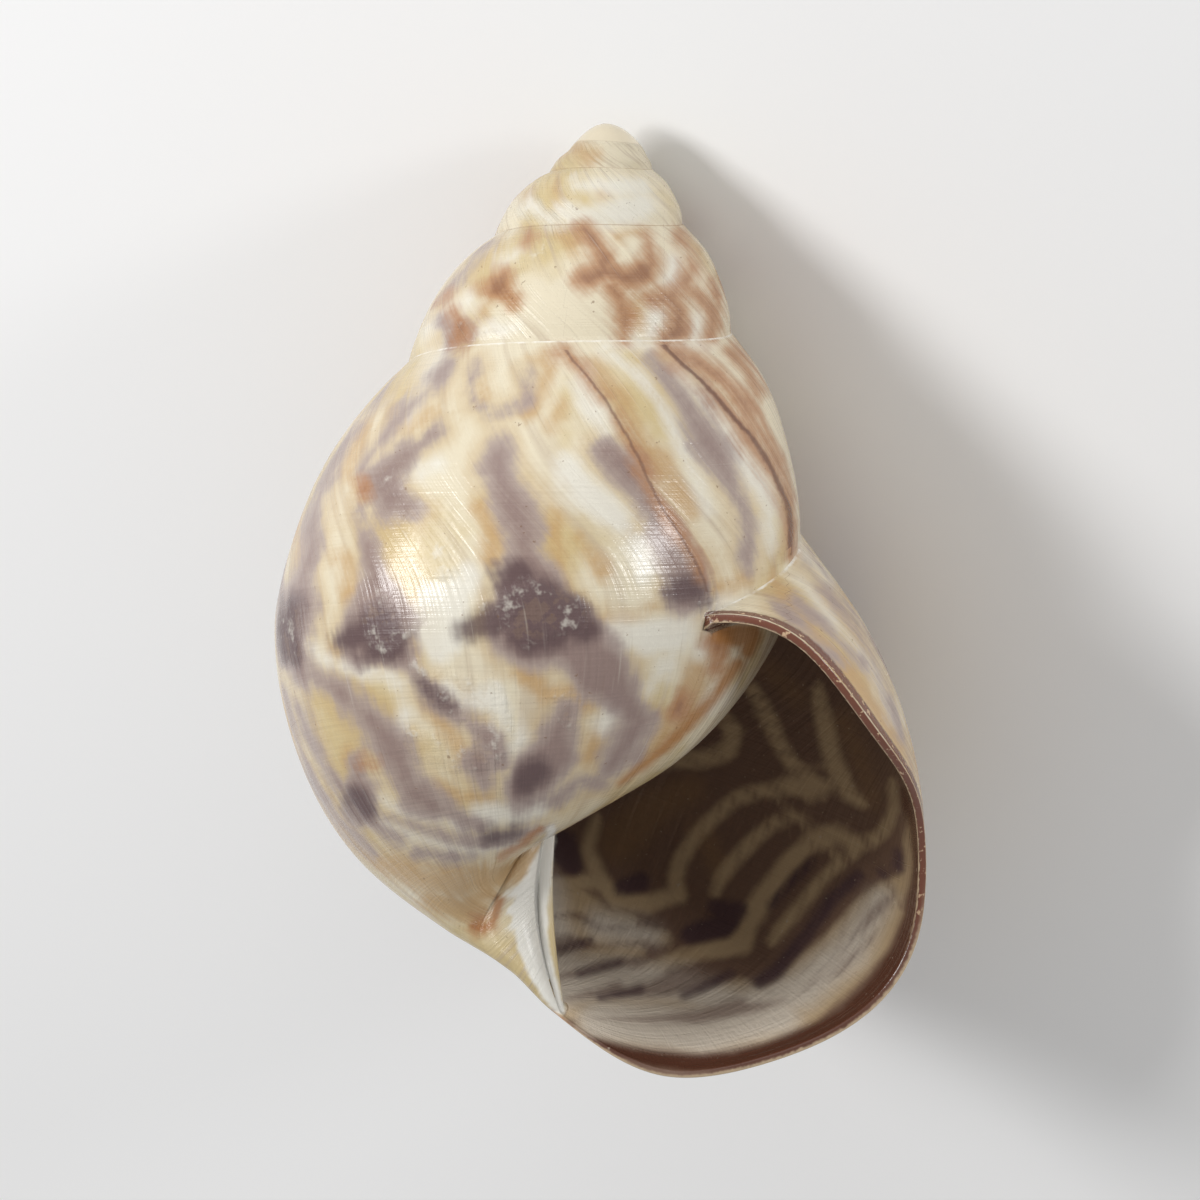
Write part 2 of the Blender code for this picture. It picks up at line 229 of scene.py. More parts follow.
def hollow_ring(depth, lip_shares, foot_count, wall_shares):
    """One ring of the hollow: the upper corner, the inside of the outer wall, the columella, which
    is a straight line bowed in by half a sine, and the callus on the whorl before. Its growth and
    share come with it."""
    opened = smoothstep(depth / OPENING)
    size = np.exp(-WALL_GROWTH * depth)
    joined = lower_share(np.array(-1 - depth))
    end = LAST_SHARE - 0.012 * opened - 0.02 * smoothstep(depth)
    start = FIRST_SHARE + 0.026 * smoothstep(depth / LIP_EASE)
    shares = np.append(lip_shares[1:], 1.0)
    lip_growth = -lag(shares) - depth
    thinned = 1 - 0.5 * smoothstep((shares - LIP_THINNING) / (1 - LIP_THINNING)) * (1 - opened)
    wall = WALL * (0.85 + 0.15 * opened) * size * thinned
    outer = surface(lip_growth, start + (end - start) * shares, wall)
    first = joined + CALLUS_START + 0.026 * smoothstep(depth / JOIN_EASE)
    inner_shares = np.append(end, first + (wall_shares - low) * (end - first) / (1 - low))
    raised = CALLUS * (0.15 + 0.85 * smoothstep(depth / CALLUS_EASE)) * size
    inner = surface(CALLUS_GROWTH - depth, inner_shares, -raised)
    corner = surface(np.array([-1 - depth]), first, -(CORNER_DEPTH * size + raised))
    f = np.linspace(0, 1, foot_count)[:, None]
    turned = angle(-lag(1.0) * (1 - f[:, 0]) - depth)
    outward = np.stack([np.cos(turned), np.sin(turned), 0 * turned], -1)
    hollow = COLUMELLA_HOLLOW * (1 - 0.5 * opened) * size**1.5
    columella = outer[-1] * (1 - f) + inner[0] * f - hollow * np.sin(np.pi * f) * outward
    foot_growth = -lag(1.0) - depth + 0 * f[:, 0]
    inner_growth = -1 - depth + 0 * inner_shares[1:]
    growth = np.concatenate([[-depth], lip_growth[:-1], foot_growth, inner_growth])
    share = np.concatenate([[0], shares[:-1], 1 + 0 * f[:, 0], inner_shares[1:]])
    return np.concatenate([corner, outer[:-1], columella, inner[1:]]), np.stack([growth, share], -1)


upper, low = len(UPPER_ROWS) - 1, lower_share(np.array(-1.0))
shares = np.concatenate([UPPER_ROWS * low, low + (1 - low) * LOWER_ROWS])
rows, turn_back = len(shares) - 1, ALL_COLUMNS - COLUMNS
quads, quad_marks, triangles, triangle_marks = [], [], [], []


def add_grid(numbers, marks):
    """Quads between neighbouring columns and rows of point numbers, with their corners' marks."""
    for grid, kept in ((numbers, quads), (marks, quad_marks)):
        corners = [grid[:-1, :-1], grid[1:, :-1], grid[1:, 1:], grid[:-1, 1:]]
        kept.append(np.stack(corners, 2).reshape(-1, 4, *grid.shape[2:]))


# The spire shows each whorl down to the suture where the next one covers it
growth = TIP_GROWTH + np.arange(ALL_COLUMNS + 1) / COLUMNS
spire_growth = growth[: turn_back + 1, None] + 0 * UPPER_ROWS
spire_share = np.outer(lower_share(growth[: turn_back + 1]), UPPER_ROWS)
spire = surface(spire_growth[:-1, :-1], spire_share[:-1, :-1]).reshape(-1, 3)
index = -np.ones((ALL_COLUMNS + 1, rows + 1), int)
index[:turn_back, :upper] = np.arange(len(spire)).reshape(turn_back, upper)

# The last whorl shows its whole profile, from one turn back to the trailing lip
last_growth = -1 + np.linspace(0, 1, COLUMNS + 1)[:, None] * (1 - lag(shares))
last_share = shares + 0 * last_growth
own = np.ones(last_growth.shape, bool)
own[0, upper] = False
own[:, rows] = np.arange(COLUMNS + 1) % FOOT_STEP == 0
last = surface(last_growth[own], last_share[own])
numbers = -np.ones(last_growth.shape, int)
numbers[own] = len(spire) + np.arange(len(last))
index[turn_back:] = numbers
index[: turn_back + 1, upper] = index[COLUMNS:, 0]
points = np.concatenate([spire, last])
spire_marks = np.stack([spire_growth, spire_share], -1)
last_marks = np.stack([last_growth, last_share], -1)
add_grid(index[: turn_back + 1, : upper + 1], spire_marks)
add_grid(index[turn_back:, :rows], last_marks[:, :rows])

# At the columella the rows meet a line with one point for every few columns
above, foot = index[turn_back:, rows - 1], index[turn_back::FOOT_STEP, rows]
above_marks, foot_marks = last_marks[:, rows - 1], last_marks[::FOOT_STEP, rows]
meets = FOOT_STEP // 2 + 1
nearest = (np.arange(COLUMNS) + meets) // FOOT_STEP
change = np.arange(1, len(foot))
switch = change * FOOT_STEP - meets
triangles.append(np.stack([above[:-1], above[1:], foot[nearest]], -1))
triangles.append(np.stack([above[switch], foot[change], foot[change - 1]], -1))
triangle_marks.append(np.stack([above_marks[:-1], above_marks[1:], foot_marks[nearest]], 1))
switch_marks = [above_marks[switch], foot_marks[change], foot_marks[change - 1]]
triangle_marks.append(np.stack(switch_marks, 1))

# The edge of the aperture runs along the lip, up the columella and up the whorl before. Its rim is
# a half round from there to the first ring of the hollow, pushed forward as growth goes, and at the
# columella to the front.
wall_rows = slice(rows - 1, upper, -1)
edge = np.concatenate([index[-1, :rows], foot[::-1], index[turn_back, wall_rows]])
edge_marks = np.concatenate([last_marks[-1, :rows], foot_marks[::-1], last_marks[0, wall_rows]])
made = [hollow_ring(d, shares[:rows], len(foot), shares[wall_rows]) for d in RING_DEPTHS]
turned = angle(-lag(shares[:rows]))
push = np.zeros((len(edge), 3))
push[:rows, :2] = LIP_ROUNDING * np.stack([-np.sin(turned), np.cos(turned)], -1)
push[:rows] *= np.clip(shares[:rows] / LIP_EASE, 0, 1)[:, None]
swell = np.abs(np.sin(np.pi * np.linspace(0, 1, len(foot)))) ** 0.7
push[rows : rows + len(foot), 1] = COLUMELLA_SWELL * swell
first_ring, rim = made[0][0], []
for bend in RIM_BENDS:
    blend = (1 + np.cos(bend)) / 2
    bent = points[edge] * blend + first_ring * (1 - blend) + push * np.sin(bend)
    rim.append((bent, edge_marks))
loops, loop_marks, solid = [edge], [edge_marks], [points]
for ring, marks in rim + made:
    loops.append(sum(len(part) for part in solid) + np.arange(len(edge)))
    solid.append(ring)
    loop_marks.append(marks)
points = np.concatenate(solid)
loops, loop_marks = np.array(loops), np.array(loop_marks)
around = np.concatenate([loops, loops[:, :1]], axis=1)
around_marks = np.concatenate([loop_marks, loop_marks[:, :1]], axis=1)
add_grid(around.T[::-1], around_marks.transpose(1, 0, 2)[::-1])

# The far end of the hollow is closed across, and over the first turn the tip is a dome, whose rings
# fall by the square of their scale
half = (len(edge) + 1) // 2
end_a, end_b = loops[-1, 1:half], loops[-1, :-half:-1]
triangles.append(np.array([[loops[-1, 0], end_b[0], end_a[0]]]))
quads.append(np.stack([end_a[:-1], end_b[:-1], end_b[1:], end_a[1:]], -1))
if len(edge) % 2 == 0:
    triangles.append(np.array([[end_a[-1], end_b[-1], loops[-1, half]]]))
outer_ring = np.concatenate([index[:COLUMNS, 0], index[0, upper:0:-1]])
base = points[outer_ring]
tip = base.mean(axis=0)
tip[2] = 0
for scale in DOME_SCALES:
    ring = tip + scale * (base - tip)
    ring[:, 2] = scale**2 * base[:, 2]
    inner_ring = len(points) + np.arange(len(base))
    points = np.concatenate([points, ring])
    next_outer, next_inner = np.roll(outer_ring, -1), np.roll(inner_ring, -1)
    quads.append(np.stack([next_outer, outer_ring, inner_ring, next_inner], -1))
    outer_ring = inner_ring
tip_number = np.full(len(base), len(points))
triangles.append(np.stack([np.roll(outer_ring, -1), outer_ring, tip_number], -1))
points = np.vstack([points, tip])

# The empty shell lies on its back. It turns from upright to rest, the tip towards +y, and the worn
# spot on its back that it lies on is flat. The coils also lean a little against the axis, as the
# real shell grew askew.
AXIS_LEAN = 0.105
COIL_LEAN = 0.15
LEAN_LEVEL = 2.5
DOWN = np.array([0.40, 0.812, 0.425])
TIP_PLACE = np.array([0.814, 21.323, 3.43])
up = -DOWN / np.linalg.norm(DOWN)
ahead = np.array([0.0, 0.0, 1.0]) - up * up[2]
ahead /= np.linalg.norm(ahead)
turn = np.stack([np.cross(ahead, up), ahead, up], -1)


def upright_to_rest(upright):
    """From the upright shell, z up and aperture towards -y, to the resting one, in millimetres."""
    return upright @ turn + TIP_PLACE


def lean(points):
    """Across, forward and down made upright x, y and z, each sheared by a share of another."""
    across, forward, drop = points.T
    down = drop - LEAN_LEVEL
    return np.stack([across - AXIS_LEAN * down, -forward, -(down + COIL_LEAN * across)], -1)


upright = lean(points)
resting = upright_to_rest(upright)
resting[:, 2] = np.maximum(resting[:, 2], 0)

# The markings are laid down with the shell at the lip, and two strokes over the body whorl's glints
# are painted highlight. They are drawn as brush strokes on the front view, whose unit is 1/1200 of
# the picture's width: each point of a stroke is across, down and the stroke's radius.
UNITS_PER_MM = 18.78
FRONT_AXIS = np.array([608.0, 171.0])
FRONT_MIDDLE = 600.0
VIEW_DISTANCE = 300.0
LILAC_STROKES = [
    [(388, 382, 3), (370, 402, 5), (352, 430, 5), (334, 464, 5), (320, 494, 6), (312, 522, 9),
     (311, 552, 9), (300, 580, 9)],
    [(449, 362, 5), (434, 384, 8), (416, 402, 8), (396, 422, 6), (376, 446, 5), (362, 468, 4)],
    [(478, 362, 1), (470, 384, 3), (474, 402, 4), (492, 412, 6), (512, 408, 3)],
    [(530, 376, 3), (534, 394, 4), (520, 408, 1)],
    [(436, 430, 8), (420, 444, 11), (402, 460, 16), (382, 480, 20), (394, 500, 19), (414, 512, 9)],
    [(500, 446, 12), (497, 468, 19), (503, 490, 20), (514, 510, 22), (524, 530, 19), (526, 552, 17),
     (530, 590, 38), (534, 622, 44)],
    [(359, 508, 3), (365, 530, 6), (371, 556, 11), (378, 582, 20), (382, 610, 35)],
    [(296, 598, 20), (291, 622, 22), (292, 650, 19), (303, 672, 12), (324, 684, 11), (346, 698, 12),
     (372, 720, 17), (392, 745, 20), (404, 775, 17)],
    [(344, 640, 6), (372, 636, 32), (400, 650, 19), (414, 674, 9), (436, 698, 11), (456, 712, 12),
     (476, 728, 9), (494, 744, 11), (500, 762, 11)],
    [(530, 622, 44), (562, 634, 38), (584, 652, 32), (604, 672, 32), (620, 690, 22), (630, 708, 16),
     (640, 722, 17), (626, 745, 20), (612, 762, 14)],
    [(606, 452, 16), (624, 466, 17), (640, 490, 11), (653, 512, 14), (666, 534, 17), (676, 556, 19),
     (690, 582, 22), (688, 598, 22)],
    [(651, 358, 4), (668, 380, 6), (686, 404, 9), (700, 428, 14), (712, 448, 16), (724, 464, 11),
     (732, 488, 8), (743, 512, 8), (749, 538, 6), (751, 566, 8)],
    [(700, 384, 5), (714, 404, 5)],
    [(356, 762, 9), (362, 790, 19), (360, 812, 17), (376, 826, 6), (400, 838, 5)],
    [(396, 778, 9), (416, 796, 20), (434, 806, 17), (456, 816, 6), (480, 826, 5)],
    [(518, 790, 19), (536, 776, 24), (552, 756, 24), (560, 730, 17), (568, 712, 11)],
    [(476, 762, 17), (484, 782, 12)],
    [(384, 816, 4), (420, 828, 5), (456, 840, 5), (490, 844, 6), (516, 838, 6), (548, 826, 4)],
    [(420, 852, 4), (446, 857, 5), (476, 856, 4)],
    [(283, 690, 3), (294, 728, 4), (310, 774, 4), (330, 808, 4), (352, 834, 4), (374, 853, 3)],
    [(296, 706, 4), (308, 736, 5), (322, 764, 6), (338, 786, 6)],
    [(556, 800, 9), (580, 780, 6), (604, 786, 6)],
    [(440, 320, 8), (460, 330, 14), (452, 342, 11)],
    [(492, 242, 2), (472, 261, 3), (451, 284, 5), (436, 301, 6)],
    [(812, 548, 3), (845, 592, 4), (858, 624, 3)],
    [(806, 566, 3), (849, 620, 3.5), (884, 674, 3), (903, 738, 3)],
    [(795, 597, 2.5), (834, 637, 3), (868, 666, 2.5)],
    [(772, 602, 2.5), (806, 632, 3), (836, 662, 2.5)],
    [(896, 690, 2.5), (912, 742, 3), (922, 790, 2.5)],
]
DARK_STROKES = [
    [(290, 606, 9), (285, 626, 12), (288, 650, 11)],
    [(342, 642, 5), (362, 634, 13), (384, 622, 16), (396, 645, 14), (376, 650, 13)],
    [(470, 628, 9), (492, 620, 16), (520, 606, 22), (548, 602, 22), (572, 616, 18), (552, 634, 20),
     (520, 634, 14), (584, 628, 12)],
    [(505, 582, 14), (520, 574, 12)],
    [(676, 592, 10), (692, 588, 14), (700, 600, 10)],
    [(365, 808, 10), (356, 800, 10)],
    [(524, 782, 10), (536, 772, 10)],
    [(418, 680, 4), (432, 694, 5), (452, 706, 4)],
    [(490, 838, 3), (516, 834, 4)],
]
OCHRE_STROKES = [
    [(364, 424, 6), (356, 444, 6), (348, 468, 5)],
    [(302, 528, 4), (301, 562, 5)],
    [(343, 560, 8), (350, 590, 9)],
    [(480, 505, 7), (490, 530, 9), (494, 556, 8)],
    [(400, 420, 8), (418, 424, 8), (428, 412, 6)],
    [(482, 388, 4), (484, 398, 4)],
    [(362, 478, 5), (364, 492, 6)],
    [(545, 358, 5), (550, 372, 4), (540, 390, 6), (528, 412, 5)],
    [(556, 520, 4), (558, 548, 5), (560, 575, 5), (570, 598, 4), (590, 622, 6), (608, 626, 7),
     (632, 620, 6), (652, 610, 5)],
    [(578, 540, 8), (590, 555, 9), (600, 575, 7)],
    [(560, 405, 5), (552, 425, 6)],
    [(594, 368, 7), (606, 384, 9), (622, 402, 8), (634, 424, 7), (648, 446, 8), (664, 462, 10),
     (676, 486, 8), (690, 510, 5)],
    [(700, 560, 5), (712, 588, 9), (732, 588, 7), (744, 578, 5)],
    [(408, 640, 4), (414, 652, 4)],
    [(332, 650, 3), (352, 656, 3), (382, 662, 3)],
    [(430, 700, 6), (444, 724, 7), (456, 742, 7), (464, 756, 5)],
    [(345, 750, 4), (348, 764, 4)],
    [(400, 762, 5), (398, 776, 5)],
    [(436, 790, 5), (462, 796, 5), (488, 798, 5)],
    [(520, 674, 5), (546, 692, 6), (572, 690, 7), (586, 704, 7)],
    [(596, 736, 6), (588, 760, 6)],
    [(698, 672, 10), (690, 700, 12), (676, 722, 11), (656, 744, 8), (640, 760, 5)],
    [(282, 700, 3), (300, 752, 4), (324, 802, 4), (352, 840, 5), (388, 872, 6)],
    [(380, 862, 8), (420, 878, 12), (456, 884, 16), (494, 876, 16), (520, 866, 12), (536, 850, 7)],
    [(430, 900, 10), (462, 910, 12), (488, 892, 10)],
    [(557, 172, 2), (555, 190, 3), (558, 208, 3)],
    [(601, 193, 6)],
    [(527, 196, 4)],
    [(560, 150, 8), (572, 146, 8), (590, 158, 6)],
    [(492, 300, 4), (484, 312, 3)],
    [(510, 296, 6), (514, 308, 5)],
    [(640, 232, 3), (620, 236, 3)],
    [(560, 232, 5), (575, 246, 6)],
    [(636, 308, 7), (644, 326, 7)],
    [(775, 583, 7), (818, 641, 9), (857, 686, 10), (892, 732, 10), (911, 779, 7), (922, 820, 5)],
    [(820, 590, 4), (862, 644, 5), (890, 700, 5)],
]
BROWN_STROKES = [
    [(584, 230, 5), (593, 242, 7), (604, 256, 7), (604, 270, 8), (590, 279, 8), (578, 279, 4)],
    [(604, 272, 9), (622, 278, 9), (640, 276, 9), (652, 264, 8), (650, 248, 5), (646, 236, 4)],
    [(612, 288, 9), (622, 304, 8), (626, 322, 7), (624, 338, 5)],
    [(652, 298, 5), (670, 298, 7), (680, 312, 7), (679, 330, 8), (666, 339, 6)],
    [(678, 237, 4), (688, 252, 5), (693, 269, 6), (686, 284, 6), (698, 297, 6), (711, 310, 5),
     (713, 325, 4), (710, 338, 5)],
    [(506, 272, 6), (502, 286, 11), (512, 300, 8)],
    [(486, 291, 6), (496, 290, 7)],
    [(455, 312, 5), (462, 328, 7), (458, 342, 5)],
    [(530, 236, 5), (524, 244, 4)],
    [(437, 302, 4), (446, 294, 3)],
    [(714, 282, 2), (717, 294, 2)],
    [(676, 352, 5), (696, 362, 8), (716, 374, 7), (732, 388, 6), (744, 402, 5), (752, 416, 5),
     (762, 434, 5), (773, 453, 5), (780, 472, 4), (786, 494, 3)],
    [(666, 350, 3), (690, 373, 3), (712, 393, 3), (730, 415, 3), (749, 435, 4), (761, 453, 4),
     (774, 477, 4), (784, 502, 4), (789, 524, 4), (787, 552, 4)],
    [(729, 352, 4), (748, 372, 4), (760, 392, 3)],
    [(366, 764, 4), (372, 766, 3)],
    [(362, 484, 1), (366, 492, 1)],
    [(557, 354, 2), (566, 354, 3), (586, 378, 2), (604, 398, 2)],
    [(616, 418, 2), (628, 438, 2), (640, 462, 2), (652, 488, 2), (664, 512, 2), (678, 532, 2),
     (691, 554, 2), (703, 578, 2)],
    [(682, 700, 4), (678, 712, 5)],
    [(712, 640, 6), (722, 650, 8), (724, 634, 7), (716, 666, 6)],
    [(480, 922, 4), (486, 928, 5), (478, 930, 4)],
]
WHITE_AND_HIGHLIGHT_STROKES = [
    [(420, 470, 12), (438, 464, 11)],
    [(430, 600, 14), (452, 594, 14), (446, 626, 16), (470, 580, 10)],
    [(420, 620, 12), (436, 650, 12), (450, 640, 10)],
    [(346, 664, 4), (376, 672, 6), (402, 682, 7)],
    [(618, 636, 15), (650, 636, 17), (680, 630, 15), (690, 618, 8)],
    [(580, 380, 10), (592, 410, 12), (606, 428, 9)],
    [(570, 470, 12), (590, 500, 14), (620, 520, 10)],
    [(612, 354, 4), (642, 378, 4), (662, 404, 4), (678, 440, 4), (692, 470, 3), (712, 508, 3)],
    [(676, 370, 6), (702, 396, 7), (724, 424, 7), (740, 456, 8), (758, 480, 9), (770, 506, 8),
     (772, 545, 7)],
    # This stroke lies on the glints at the right of the body whorl: its white is a painted
    # highlight.
    [(640, 546, 10), (646, 570, 10)],
    [(300, 640, 4), (314, 650, 5), (326, 662, 4)],
    [(386, 824, 3), (416, 836, 3), (446, 846, 3), (474, 851, 4), (502, 848, 3), (530, 838, 3),
     (556, 822, 3)],
    [(380, 797, 3), (400, 812, 3), (436, 819, 3), (460, 824, 3)],
    [(480, 814, 8), (510, 812, 9), (540, 808, 6)],
    [(560, 212, 10), (600, 215, 10), (640, 208, 12)],
    [(575, 185, 8), (640, 186, 8)],
    [(530, 206, 7), (540, 214, 8), (550, 220, 6)],
    [(484, 332, 5), (502, 330, 7), (518, 326, 5)],
    [(636, 340, 4), (640, 344, 3)],
    [(674, 262, 6), (672, 280, 6)],
    [(697, 318, 5), (696, 334, 5)],
    [(655, 316, 6), (652, 332, 6)],
    [(604, 347, 2), (640, 346, 2), (680, 345, 2), (712, 345, 2)],
    [(704, 606, 5), (716, 604, 6), (730, 600, 4)],
    [(604, 726, 8), (620, 700, 6)],
    [(650, 690, 8), (662, 668, 8)],
    [(505, 262, 8), (520, 250, 6)],
    [(408, 420, 4), (470, 300, 6), (424, 330, 5)],
    [(727, 684, 4), (716, 698, 4), (708, 708, 3)],
    [(716, 626, 3), (708, 640, 3), (700, 654, 2)],
    [(404, 716, 6), (398, 730, 5)],
    [(446, 690, 9), (462, 702, 9), (492, 700, 9), (506, 720, 9), (520, 740, 9), (500, 755, 6)],
    [(800, 579, 2.5), (842, 630, 3), (876, 670, 2.5), (898, 724, 2)],
    [(800, 548, 3), (830, 580, 3)],
]
WORN_AND_GLINT_STROKES = [
    [(380, 610, 18), (388, 636, 20)],
    [(496, 604, 16), (524, 610, 28), (560, 612, 24)],
    [(416, 664, 8), (430, 690, 8), (452, 712, 8), (482, 728, 8)],
    [(440, 680, 14), (476, 700, 22), (500, 735, 20), (470, 760, 14), (410, 740, 14)],
    [(288, 615, 10), (290, 650, 8)],
    [(530, 206, 12), (545, 216, 10)],
    [(545, 243, 8), (530, 262, 8), (515, 274, 5)],
    [(560, 700, 10), (570, 720, 8)],
    [(700, 606, 6), (716, 612, 8), (732, 612, 6)],
    # This stroke lies over the glints on the left of the body whorl: its whitish flecks are a
    # painted highlight.
    [(430, 520, 24), (440, 560, 18)],
    [(395, 480, 14)],
    [(500, 325, 10), (470, 330, 10)],
]
LINING_PALE = [
    [(818, 688, 5), (824, 722, 9), (834, 762, 9), (849, 794, 8), (863, 804, 5)],
    [(752, 688, 6), (768, 717, 8), (779, 744, 7), (795, 767, 7), (812, 780, 8), (822, 790, 8)],
    [(822, 790, 9), (795, 788, 8), (764, 790, 7), (737, 798, 7), (713, 818, 7), (694, 838, 7),
     (680, 860, 7), (675, 883, 8), (679, 895, 8)],
    [(806, 815, 4), (779, 820, 6), (756, 838, 7), (737, 857, 7), (721, 877, 7), (715, 892, 5)],
    [(892, 783, 4), (895, 808, 5), (886, 829, 6), (872, 841, 7), (857, 844, 7), (837, 830, 6),
     (818, 834, 7), (799, 853, 7), (779, 873, 7), (760, 896, 8), (750, 915, 9), (746, 934, 9),
     (733, 945, 9), (702, 951, 7), (679, 957, 7), (655, 969, 8), (628, 980, 8)],
    [(857, 853, 4), (837, 865, 6), (818, 884, 6), (799, 908, 6), (779, 931, 6), (772, 942, 4)],
    [(905, 884, 4), (880, 892, 6), (853, 915, 6), (830, 939, 6), (806, 966, 6), (779, 992, 8),
     (752, 996, 7)],
    [(907, 841, 3), (909, 864, 4), (905, 888, 4), (888, 915, 5), (857, 943, 5), (834, 966, 5),
     (810, 993, 6), (783, 1008, 7)],
    [(596, 818, 5), (588, 849, 7), (597, 876, 8), (617, 900, 9), (648, 904, 9), (669, 897, 8)],
    [(539, 887, 8), (574, 883, 8), (597, 880, 8)],
    [(717, 712, 6), (735, 732, 8), (729, 752, 8), (702, 760, 8), (679, 759, 8), (655, 766, 6)],
    [(852, 846, 7), (836, 836, 9), (808, 844, 9), (785, 866, 9), (764, 900, 9), (749, 924, 9),
     (742, 944, 10), (720, 950, 8), (698, 953, 7), (668, 963, 7), (646, 976, 7)],
    [(910, 822, 4), (911, 856, 5), (904, 882, 6), (882, 888, 6), (858, 908, 6), (832, 938, 6),
     (804, 962, 7), (780, 988, 8), (764, 996, 7)],
    [(545, 905, 12), (580, 900, 12), (604, 918, 10), (630, 920, 8)],
    [(540, 930, 10), (570, 925, 9), (600, 938, 8), (640, 934, 8), (664, 938, 6)],
    [(556, 966, 9), (600, 954, 7), (640, 950, 6)],
    [(560, 990, 10), (600, 980, 7), (630, 972, 6)],
    [(566, 1010, 11), (610, 1008, 12), (660, 1006, 10), (700, 1000, 9), (738, 988, 9),
     (760, 994, 7)],
    [(584, 1026, 10), (640, 1034, 13), (700, 1038, 15), (760, 1028, 16), (810, 1008, 14),
     (848, 980, 10), (880, 944, 9), (896, 912, 7)],
    [(870, 900, 5), (846, 936, 6), (820, 962, 7), (790, 992, 9)],
]
LINING_DARK = [
    [(562, 846, 16), (572, 866, 10)],
    [(640, 882, 10), (622, 888, 8)],
    [(690, 934, 9), (722, 926, 12), (740, 910, 8), (716, 908, 8)],
    [(858, 876, 6), (832, 900, 6), (804, 938, 6), (776, 972, 7), (760, 982, 6)],
    [(898, 850, 4), (900, 868, 5), (880, 874, 4)],
    [(730, 974, 4), (706, 986, 4), (684, 996, 4)],
    [(590, 940, 3), (560, 950, 3)],
    [(620, 962, 3), (580, 974, 3)],
    [(640, 990, 4), (600, 998, 3)],
    [(770, 905, 4), (790, 884, 4), (812, 862, 4)],
]
LINING_GREY = [
    [(540, 860, 14), (545, 920, 22), (560, 980, 26), (620, 980, 22), (680, 985, 18),
     (740, 1010, 20), (800, 990, 20), (850, 950, 18), (880, 900, 12)],
    [(600, 925, 14), (650, 935, 12)],
    [(600, 1020, 22), (700, 1030, 26), (780, 1015, 20)],
]
LINING_WARM = [
    [(620, 840, 22), (650, 810, 20), (690, 790, 14)],
    [(700, 830, 10), (720, 870, 8)],
    [(842, 720, 8), (860, 760, 8), (872, 800, 7)],
    [(770, 670, 8), (800, 700, 6)],
]
LINING_BROWN = [
    [(560, 1020, 3), (588, 1040, 4), (620, 1052, 6), (654, 1060, 7), (694, 1064, 8), (734, 1062, 8),
     (775, 1050, 9), (815, 1036, 10), (850, 1016, 10), (880, 986, 10), (902, 952, 9), (914, 916, 7),
     (919, 872, 5), (914, 830, 4), (904, 792, 3)],
    [(740, 640, 12), (752, 632, 10), (746, 652, 8)],
    [(720, 640, 8), (722, 662, 8)],
]
ENAMEL_STROKES = [
    [(552, 830, 4), (544, 860, 9), (534, 890, 15), (530, 915, 18), (533, 945, 16), (541, 970, 13),
     (550, 992, 10), (560, 1010, 5)],
    [(520, 890, 4), (506, 896, 3)],
    [(520, 908, 4), (504, 912, 3)],
    [(516, 925, 4), (502, 930, 2)],
]
STAIN_STROKES = [
    [(500, 900, 5), (497, 918, 7), (506, 934, 4), (515, 950, 3)],
    [(474, 926, 4), (486, 930, 3)],
    [(553, 1012, 3), (568, 1030, 3), (588, 1046, 2)],
    [(540, 828, 3), (520, 846, 4), (500, 856, 4)],
]
AMBER_STROKES = [
    [(718, 634, 8), (736, 636, 12), (752, 634, 10), (748, 650, 8)],
    [(738, 664, 6), (716, 694, 5), (690, 724, 5), (660, 752, 4), (620, 784, 3)],
]
HALT_LINE = [
    (565, 351), (585, 376), (605, 399), (617, 421), (628, 438), (640, 462),
    (651, 486), (663, 510), (677, 530), (690, 553), (702, 577), (708, 598),
]
VARIX_LINE = [
    (664, 348), (690, 373), (712, 393), (730, 415), (749, 435),
    (761, 453), (774, 477), (784, 502), (789, 524), (788, 552),
]
LINE_SLANT = 0.87
FAR = 60.0
TINY = 1e-9
PLAIN_DOME = -40.0
PLAIN_BACK = -20.0
CLOSING_MARK = [TIP_GROWTH, 0.2]
LINE_MARGIN = 3

# Each point's place on that view, and whether it is outside, on the callus or on the tip's dome
outside_count = len(spire) + len(last)
whorls = slice(0, outside_count)
dome = np.arange(len(upright)) >= len(upright) - len(DOME_SCALES) * len(base) - 1
outside = (np.arange(len(upright)) < outside_count) | dome
along_ring = np.where(outside, -1, (np.arange(len(upright)) - outside_count) % len(edge))
on_callus = along_ring >= rows
away = VIEW_DISTANCE / (VIEW_DISTANCE + upright[:, 1])
front = FRONT_AXIS + UNITS_PER_MM * upright[:, [0, 2]] * [1, -1]
front = FRONT_MIDDLE + (front - FRONT_MIDDLE) * away[:, None]


def with_closing(faces, face_marks):
    """All faces and their corners' marks. Those that close the tip and the hollow share one mark."""
    faces, face_marks = np.concatenate(faces), np.concatenate(face_marks)
    closing = np.zeros((len(faces) - len(face_marks), *face_marks.shape[1:])) + CLOSING_MARK
    return faces, np.concatenate([face_marks, closing])


quads, quad_marks = with_closing(quads, quad_marks)
triangles, triangle_marks = with_closing(triangles, triangle_marks)
point_marks = np.zeros((len(points), 2))
point_marks[triangles] = triangle_marks
point_marks[quads] = quad_marks
share_at = point_marks[:, 1]
line = point_marks[:, 0] + lag(share_at)


